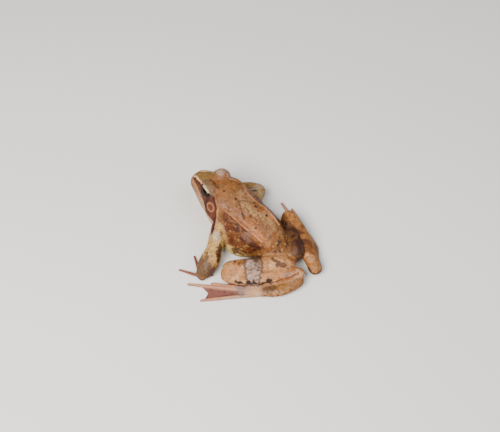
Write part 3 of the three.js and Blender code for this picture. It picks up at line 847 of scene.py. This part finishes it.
def paint_leg(paint, side):
    """Cream and tan legs, the near one paler."""
    forward, up = places[:, 0], places[:, 2]
    thigh, shank, tarsus, foot = (part[f"{name}_{side}"] for name in ("thigh", "shank", "tarsus", "foot"))
    near = side == "left"
    leg = thigh + shank
    cover(paint, leg, (200, 154, 114) if near else (182, 130, 84))
    dapple(paint, leg * 0.8, (6, 0.45, 601, 0.3), (220, 182, 148) if near else (202, 154, 110))
    dapple(paint, leg * 0.75, (3.5, 0.34, 602, 0.2), (188, 130, 86) if near else (150, 96, 58))
    dapple(paint, leg * 0.75, (1.2, 0.16, 603, 0.08), (118, 76, 50))
    cover(paint, tarsus, (172, 128, 90))
    dapple(paint, tarsus * 0.7, (3, 0.35, 604, 0.2), (200, 160, 126))
    dapple(paint, tarsus * 0.75, (1.3, 0.24, 605, 0.1), (112, 78, 54))
    cover(paint, foot, (198, 166, 142))
    dapple(paint, foot * 0.6, (1.8, 0.25, 606, 0.15), (160, 122, 98))
    web = foot * (1 - step(up, 1.25, 0.2)) * step(facing[:, 2], 0, 0.2)
    cover(paint, 0.95 * web, (150, 102, 94))
    dapple(paint, 0.6 * web, (2.0, 0.28, 607, 0.15), (116, 72, 68))
    toes = foot * step(up, 1.25, 0.2) * step(forward, 18 if near else 10, 3)
    cover(paint, 0.9 * toes, (210, 158, 132))


HEEL_PATCH = (-1.8, 10.4, 10.5)
UMBER = (112, 74, 50)
# Marks on the near leg: the part they are on, place, size and colour.
NEAR_LEG_MARKS = [
    ("thigh", (16.1, 15.4, 14.1), 3.0, (104, 80, 54)), ("thigh", (23.1, 24.8, 14), 0.9, DARK_BROWN),
    ("thigh", (20.6, 24.7, 14.5), 0.8, DARK_BROWN), ("thigh", (21.8, 23.6, 14.6), 0.6, DARK_BROWN),
    ("thigh", (7.1, 10.4, 15.5), 1.6, UMBER), ("thigh", (3.9, 9.9, 15.3), 2.2, UMBER),
    ("thigh", (1.4, 9.0, 14.7), 1.6, UMBER), ("shank", HEEL_PATCH, 2.4, LILAC),
    ("tarsus", (2.6, 23.0, 4.8), 2.4, (132, 102, 78)), ("tarsus", (-0.6, 20.0, 5.5), 2.6, (128, 96, 68)),
    ("tarsus", (-4.8, 15.5, 6.7), 3.2, (172, 126, 78)), ("foot", (13, 31.7, 2.2), 3.2, LILAC),
    ("foot", (6.5, 27.2, 3.2), 3.0, (206, 170, 138)),
]
SHANK_SCALLOPS = [((16.3, 31.2, 7.7), 1.4), ((14.6, 30.1, 7.6), 1.2), ((11.2, 27.3, 8.2), 1.6),
                  ((8.2, 25, 7.3), 1.5), ((5.4, 22.4, 7.2), 1.6), ((2.7, 19.2, 8), 1.7),
                  ((19.5, 32.4, 6.6), 0.9)]
# A painted shadow along a crease of the shank, as places on the frog.
SHANK_CREASE_SHADOW = [(2.7, 19.4, 6.8), (1.1, 18.1, 7.1), (-1.5, 14.2, 8.4), (-4.9, 9.6, 9.1), (-6.6, 5.2, 10)]


def paint_near_leg_marks(paint):
    """The grey bar that crosses the folded thigh and shank, the dark marks along both, and a painted shadow
    along the shank's crease.
    """
    knee = joint_between("shank_left", "thigh_left")
    thigh, shank = part["thigh_left"], part["shank_left"]
    wander = 1.5 * clouds(places, 3, 621)
    for share, target, low, high in [(thigh, joint_between("thigh_left", "trunk"), 8.6, 17.6),
                                     (shank, joint_between("tarsus_left", "shank_left"), 9.4, 16.6)]:
        along = mm_from(knee, target)
        bar = between(along + wander, low, high, 0.5) * share
        streaks = noise(np.stack([along * 0.5, places[:, 2] * 1.5, 0 * along], axis=1), 1.1, 624)
        cover(paint, bar, (186, 168, 156))
        cover(paint, bar * 0.75 * step(streaks + 0.4 * clouds(places, 1, 622), 0.1, 0.2), (146, 116, 98))
        dapple(paint, bar * 0.85, (1.2, 0.2, 623, 0.1), (92, 66, 54))
        for end in (low, high):
            cover(paint, 0.8 * between(along + wander, end - 0.6, end + 0.6, 0.4) * share, (118, 78, 54))
    for name, place, size, colour in NEAR_LEG_MARKS:
        mark = spot(place, size, 640 + int(place[0]), wobble=0.8)
        cover(paint, 0.85 * mark * part[f"{name}_left"], colour)
    specks = 0.8 * spot(HEEL_PATCH, 2.6, 660) * flecks(1.0, 0.25, 661, 0.1) * shank
    cover(paint, specks, (100, 66, 56))
    for place, size in SHANK_SCALLOPS:
        mark = spot(place, size, 670 + int(place[0]), soft=0.2, wobble=0.9)
        cover(paint, 0.95 * mark * shank, (74, 40, 28))
    # Painted shadow along the shank's crease.
    cover(paint, 0.8 * stroke(SHANK_CREASE_SHADOW, 0.7, 680, wobble=0.5), (148, 84, 56))


# Bars across the far leg: start, end, width and colour.
FAR_LEG_BARS = [
    ((13.4, -13, 12.4), (7.4, -16.2, 9.5), 1.7, (96, 60, 44)),
    ((6.1, -8.9, 13.5), (1.6, -13.6, 9.8), 2.3, (92, 50, 34)),
    ((4.6, -8, 13.5), (0, -4.2, 12.3), 1.5, DARK_RED),
    ((-6.5, -1.5, 8), (-9.5, -2.6, 4.6), 1.7, DARK_RED),
    ((-12, -2.4, 4), (-13.5, -5, 4.5), 1.9, DARK_BROWN),
]
FAR_SHANK_PATCHES = [
    ((22, -15.5, 9), 4.2, (146, 98, 60)), ((-1.5, -5.8, 9.5), 2.2, (212, 168, 132)),
    ((-0.7, -11.8, 10), 3.4, (142, 90, 52)), ((-6, -6.5, 8.5), 2.6, (200, 158, 122)),
    ((10, -11.5, 12.5), 2.4, (190, 142, 96)), ((-11.3, -5, 8.2), 2.4, (184, 138, 98)),
]


def paint_far_leg_marks(paint):
    thigh, shank = part["thigh_right"], part["shank_right"]
    # The far thigh darkened in its upper part and flecked with dark brown: painted shade where it lies in
    # shadow between the body and the far shank.
    cover(paint, 0.85 * thigh * step(places[:, 2], 7, 3), (96, 66, 44))
    dapple(paint, 0.7 * thigh, (2.2, 0.3, 702, 0.1), (150, 104, 66))
    dapple(paint, 0.85 * thigh, (2.4, 0.42, 701, 0.1), (62, 40, 30))
    for start, end, width, colour in FAR_LEG_BARS:
        bar = stroke([start, end], width, 710 + int(width * 10), wobble=0.7)
        cover(paint, 0.85 * bar * (thigh + shank), colour)
    for place, size, colour in FAR_SHANK_PATCHES:
        cover(paint, 0.8 * spot(place, size, 720, wobble=0.7) * shank, colour)


def paint_arm(paint, side):
    names = ("upper_arm", "forearm", "hand", "fingers")
    upper, lower, hand, fingers = (part[f"{name}_{side}"] for name in names)
    near = side == "left"
    arm = upper + lower
    cover(paint, arm, (208, 176, 122) if near else (190, 156, 104))
    dapple(paint, arm * 0.7, (4, 0.4, 731, 0.25), (190, 150, 104) if near else (190, 158, 110))
    dapple(paint, arm * 0.7, (1.3, 0.2, 732, 0.1), (136, 96, 62))
    outer = step(np.abs(places[:, 1]) + 1.2 * clouds(places, 3, 733), 33 if near else 26, 2)
    cover(paint, lower * outer, (138, 108, 78))
    dapple(paint, lower * 0.5, (1.8, 0.3, 735, 0.12), (118, 86, 60))
    cover(paint, hand, (148, 116, 94))
    cover(paint, fingers, (156, 104, 88))
    dapple(paint, 0.5 * (hand + fingers), (1.5, 0.3, 734, 0.15), (116, 78, 66))


# Marks on the near arm: place, size and colour. The two pale grey-white ones at the shoulder are a painted
# highlight.
NEAR_ARM_MARKS = [
    ((42.4, 21, 16), 2.0, (200, 192, 170)), ((40.3, 20.5, 15.6), 1.6, (194, 184, 156)),
    ((36.0, 23.8, 12.6), 2.0, DARK_RED), ((34.6, 26.4, 12.2), 1.8, DARK_RED),
    ((33.4, 27.3, 11.3), 1.8, (104, 56, 34)), ((32.3, 29.2, 9.8), 1.8, (100, 58, 38)),
    ((39.8, 30.9, 12.3), 1.3, (128, 92, 56)), ((37.5, 32.5, 12), 1.5, (124, 88, 54)),
    ((31.7, 35.4, 6.5), 3.2, (124, 90, 80)), ((34.4, 35.6, 8.6), 1.5, (124, 92, 66)),
]
FOREARM_CURVE = [(36.9, 36.6, 9.3), (34.9, 38.2, 7.8), (33.6, 39.2, 5.6)]


def paint_near_arm_marks(paint):
    arm = part["upper_arm_left"] + part["forearm_left"]
    for place, size, colour in NEAR_ARM_MARKS:
        mark = spot(place, size, 740 + int(place[1]), soft=0.2, wobble=0.9)
        cover(paint, 0.88 * mark * arm, colour)
    cover(paint, 0.8 * stroke(FOREARM_CURVE, 0.6, 750), (98, 72, 54))


def tint_and_shade_grains(paint):
    """Lightens the tops of the grains as a painted highlight and darkens and reddens what lies between as
    painted shade, each grain also by its own amount.
    """
    rough = 0.35 + 0.65 * roughness_of_skin()
    tips = 1 - smoothstep(grain_gap, 0.12, 0.5)
    # Painted highlight on the grains' tops and painted shade between them, with a random tone for each grain.
    paint *= (1 + rough * (0.34 * tips - 0.2 + 0.3 * (grain_number - 0.5)))[:, None]
    paint[:, 1:] *= 1 - 0.1 * (rough * (1 - tips))[:, None]
    speck = flecks(0.75, 0.2, 901, 0.1) * step(noise(places, 6, 902), -0.1, 0.4)
    cover(paint, 0.4 * speck * (1 - part["digits"]), 0.42 * paint)


def painted():
    paint = paint_trunk()
    cover(paint, part["head"], paint_head())
    paint_belly(paint)
    paint_back_marks(paint)
    for side in SIDES:
        paint_leg(paint, side)
        paint_arm(paint, side)
    paint_flank_marks(paint)
    paint_head_marks(paint)
    paint_near_leg_marks(paint)
    paint_far_leg_marks(paint)
    paint_near_arm_marks(paint)
    tint_and_shade_grains(paint)
    return paint


# ---------------------------------------------------------------- materials

def shader_material(name):
    material = bpy.data.materials.new(name)
    material.use_nodes = True
    nodes = material.node_tree.nodes
    return material, nodes, material.node_tree.links, nodes["Principled BSDF"]


def add_node(nodes, kind, **settings):
    node = nodes.new(kind)
    for name, value in settings.items():
        if name in node.inputs:
            node.inputs[name].default_value = value
        else:
            setattr(node, name, value)
    return node


def ranged(nodes, links, source, low, high):
    """A value from 0 to 1 spread from low to high."""
    node = nodes.new("ShaderNodeMapRange")
    node.inputs["To Min"].default_value = low
    node.inputs["To Max"].default_value = high
    links.new(source, node.inputs["Value"])
    return node.outputs["Result"]


def tinted(nodes, links, colour, source, ranges):
    """A colour multiplied, channel by channel, by a value spread over a range."""
    tone = add_node(nodes, "ShaderNodeCombineColor")
    for channel, (low, high) in zip(("Red", "Green", "Blue"), ranges):
        links.new(ranged(nodes, links, source, low, high), tone.inputs[channel])
    product = add_node(nodes, "ShaderNodeMix", data_type="RGBA", blend_type="MULTIPLY")
    product.inputs["Factor"].default_value = 1.0
    links.new(colour, product.inputs[6])
    links.new(tone.outputs["Color"], product.inputs[7])
    return product.outputs[2]


def skin_material():
    """Moist grainy skin: the paint, with painted shade between its finest grains, with an uneven gloss."""
    material, nodes, links, shader = shader_material("skin")
    place = nodes.new("ShaderNodeTexCoord").outputs["Object"]
    paint = add_node(nodes, "ShaderNodeAttribute", attribute_name="paint")
    grain = add_node(nodes, "ShaderNodeTexVoronoi", Scale=1 / (0.55 * MM))
    fine = add_node(nodes, "ShaderNodeTexNoise", Scale=1 / (0.35 * MM), Detail=3.0)
    broad = add_node(nodes, "ShaderNodeTexNoise", Scale=1 / (2.2 * MM), Detail=4.0)
    for texture in (grain, fine, broad):
        links.new(place, texture.inputs["Vector"])
    shadows = [(1.04, 1.04 - amount) for amount in (0.16, 0.22, 0.26)]
    speckles = [(1.0 - amount, 1.0 + amount) for amount in (0.22, 0.27, 0.3)]
    colour = tinted(nodes, links, paint.outputs["Color"], grain.outputs["Distance"], shadows)
    colour = tinted(nodes, links, colour, fine.outputs["Fac"], speckles)
    links.new(colour, shader.inputs["Base Color"])
    links.new(ranged(nodes, links, broad.outputs["Fac"], 0.46, 0.74), shader.inputs["Roughness"])
    shader.inputs["Specular IOR Level"].default_value = 0.24
    shader.inputs["Coat Weight"].default_value = 0.06
    shader.inputs["Coat Roughness"].default_value = 0.25
    bump = add_node(nodes, "ShaderNodeBump", Strength=0.5, Distance=0.12 * MM)
    height = add_node(nodes, "ShaderNodeMath", operation="SUBTRACT")
    links.new(fine.outputs["Fac"], height.inputs[0])
    links.new(grain.outputs["Distance"], height.inputs[1])
    links.new(height.outputs[0], bump.inputs["Height"])
    links.new(bump.outputs["Normal"], shader.inputs["Normal"])
    return material


def eye_material():
    material, nodes, links, shader = shader_material("eye")
    place = nodes.new("ShaderNodeTexCoord").outputs["Object"]
    paint = add_node(nodes, "ShaderNodeAttribute", attribute_name="paint")
    fine = add_node(nodes, "ShaderNodeTexNoise", Scale=1 / (0.3 * MM), Detail=2.0)
    links.new(place, fine.inputs["Vector"])
    colour = tinted(nodes, links, paint.outputs["Color"], fine.outputs["Fac"], [(0.6, 1.4)] * 3)
    links.new(colour, shader.inputs["Base Color"])
    shader.inputs["Roughness"].default_value = 0.4
    shader.inputs["Specular IOR Level"].default_value = 0.04
    shader.inputs["Coat Weight"].default_value = 0.2
    shader.inputs["Coat IOR"].default_value = 1.34
    shader.inputs["Coat Roughness"].default_value = 0.03
    return material


# ---------------------------------------------------------------- the eyes

PUPIL_LENGTH, PUPIL_HEIGHT, IRIS = 2.75, 1.7, 3.6


def add_eye(side, material, rings=48, steps=72):
    """A glossy ball looking out between the lids, with a wide pupil lying level in a gold iris, pale over its
    top: partly the iris's paler upper part, partly a painted reflection.
    """
    middle, radius = eye_ball(side)
    gaze, along, rise = eye_axes(side)
    angle = np.linspace(0, math.pi, rings + 1)[1:-1]
    turn = np.linspace(0, 2 * math.pi, steps, endpoint=False)
    angle, turn = (a.ravel() for a in np.meshgrid(angle, turn, indexing="ij"))
    length, height, ahead = np.sin(angle) * np.cos(turn), np.sin(angle) * np.sin(turn), np.cos(angle)
    length, height, ahead = (np.concatenate([[0.0], a, [0.0]]) for a in (length, height, ahead))
    ahead[0], ahead[-1] = 1.0, -1.0
    out = (radius - 0.05) * (1 + 0.03 * np.exp(-((1 - ahead) / 0.25) ** 2))
    ways = length[:, None] * along + height[:, None] * rise + ahead[:, None] * gaze
    points = middle + out[:, None] * ways

    def first(ring):
        return 1 + ring * steps

    faces = []
    for i in range(steps):
        j = (i + 1) % steps
        faces.append([0, first(0) + i, first(0) + j])
        faces += [[first(r) + i, first(r + 1) + i, first(r + 1) + j, first(r) + j] for r in range(rings - 2)]
        faces.append([first(rings - 2) + i, len(points) - 1, first(rings - 2) + j])
    across, up = length * radius, height * radius
    pupil = (np.abs(across) / PUPIL_LENGTH) ** 2.2 + (np.abs(up) / PUPIL_HEIGHT) ** 2.2
    around = np.hypot(across, up)
    paint = np.tile(shade(52, 34, 22), (len(points), 1))
    # Pale cream over the top of the ball: partly the iris's paler upper part, partly a painted reflection of
    # the bright sky above.
    cover(paint, step(up, 0.7, 0.5), (222, 206, 176))
    streak = noise(np.stack([np.arctan2(up, across) * 4, around * 0.6, 0 * up], axis=1), 0.6, 801)
    cover(paint, 0.45 * step(streak, 0.1, 0.3), (96, 66, 38))
    rim = 0.9 * np.exp(-((pupil - 1.1) / 0.1) ** 2) * (0.2 + 0.8 * step(up, 0.2, 0.8))
    cover(paint, rim, (198, 154, 84))
    cover(paint, step(around, IRIS, 0.15) + (ahead < 0), (46, 30, 22))
    cover(paint, (1 - step(pupil, 1.0, 0.08)) * (ahead > 0), (6, 5, 5))
    ball = mesh_object(f"eyeball_{side}", points, faces, paint)
    ball.data.materials.append(material)
    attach(ball, "root")
    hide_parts(f"eye_{side}")


# ---------------------------------------------------------------- the scene around it

# The view was fitted and rounded.
CAMERA = {"azimuth": 131.0, "elevation": 57.5, "distance": 430.0, "lens": 53.1, "aim": (37.2, -3.8, 13.5)}
LIT_PLACE = (35, 0, 10)
FLOOR_HALF = 1500.0


def direction(azimuth, elevation):
    a, e = math.radians(azimuth), math.radians(elevation)
    return Vector((math.sin(a) * math.cos(e), -math.cos(a) * math.cos(e), math.sin(e)))


def add_camera():
    data = bpy.data.cameras.new("camera")
    data.lens = CAMERA["lens"]
    camera = bpy.data.objects.new("camera", data)
    aim = Vector(row_point(*CAMERA["aim"])) * MM
    back = direction(CAMERA["azimuth"], CAMERA["elevation"])
    camera.location = aim + back * CAMERA["distance"] * MM
    camera.rotation_euler = back.to_track_quat("Z", "Y").to_euler()
    bpy.context.scene.collection.objects.link(camera)
    bpy.context.scene.camera = camera


def add_light(name, azimuth, elevation, distance, size, power, colour):
    data = bpy.data.lights.new(name, "AREA")
    data.size = size * MM
    data.energy = power
    data.color = colour
    light = bpy.data.objects.new(name, data)
    back = direction(azimuth, elevation)
    light.location = Vector(row_point(*LIT_PLACE)) * MM + back * distance * MM
    light.rotation_euler = back.to_track_quat("Z", "Y").to_euler()
    bpy.context.scene.collection.objects.link(light)


def add_floor():
    half = FLOOR_HALF
    points = np.array([[-half, -half, 0], [half, -half, 0], [half, half, 0], [-half, half, 0]])
    floor = mesh_object("floor", points, np.array([[0, 1, 2, 3]]))
    material = bpy.data.materials.new("floor")
    material.use_nodes = True
    shader = material.node_tree.nodes["Principled BSDF"]
    shader.inputs["Base Color"].default_value = (0.62, 0.60, 0.57, 1)
    shader.inputs["Roughness"].default_value = 0.85
    floor.data.materials.append(material)


def add_world():
    world = bpy.data.worlds.new("world")
    world.use_nodes = True
    background = world.node_tree.nodes["Background"]
    background.inputs["Color"].default_value = (0.97, 0.97, 0.98, 1)
    background.inputs["Strength"].default_value = 0.38
    bpy.context.scene.world = world


# ---------------------------------------------------------------- the frog

fields = {node: Field(node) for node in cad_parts}
flesh = smoothed(grow_body(fields), fields)
cut_mouth(flesh, fields)
for side in SIDES:
    open_nostril(flesh, side)
    open_eye(flesh, side)
points, quads = polygons(flesh)
facing = vertex_normals(points, quads)
places = frog_places(points)
part = part_shares()
grain_gap, grain_number = grains(points, GRAIN_SIZE, 21)
points = points + facing * relief()[:, None]
points[:, 2] = np.maximum(points[:, 2], 0)
skin = mesh_object("skin", points, quads, painted())
skin.data.materials.append(skin_material())
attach(skin, "root")
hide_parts(*[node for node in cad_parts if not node.startswith("eye_")])
gloss = eye_material()
for side in SIDES:
    add_eye(side, gloss)

add_camera()
add_floor()
add_world()
add_light("key", azimuth=92, elevation=52, distance=700, size=400, power=13, colour=(1, 0.97, 0.93))
add_light("fill", azimuth=200, elevation=55, distance=900, size=600, power=5, colour=(0.92, 0.96, 1))
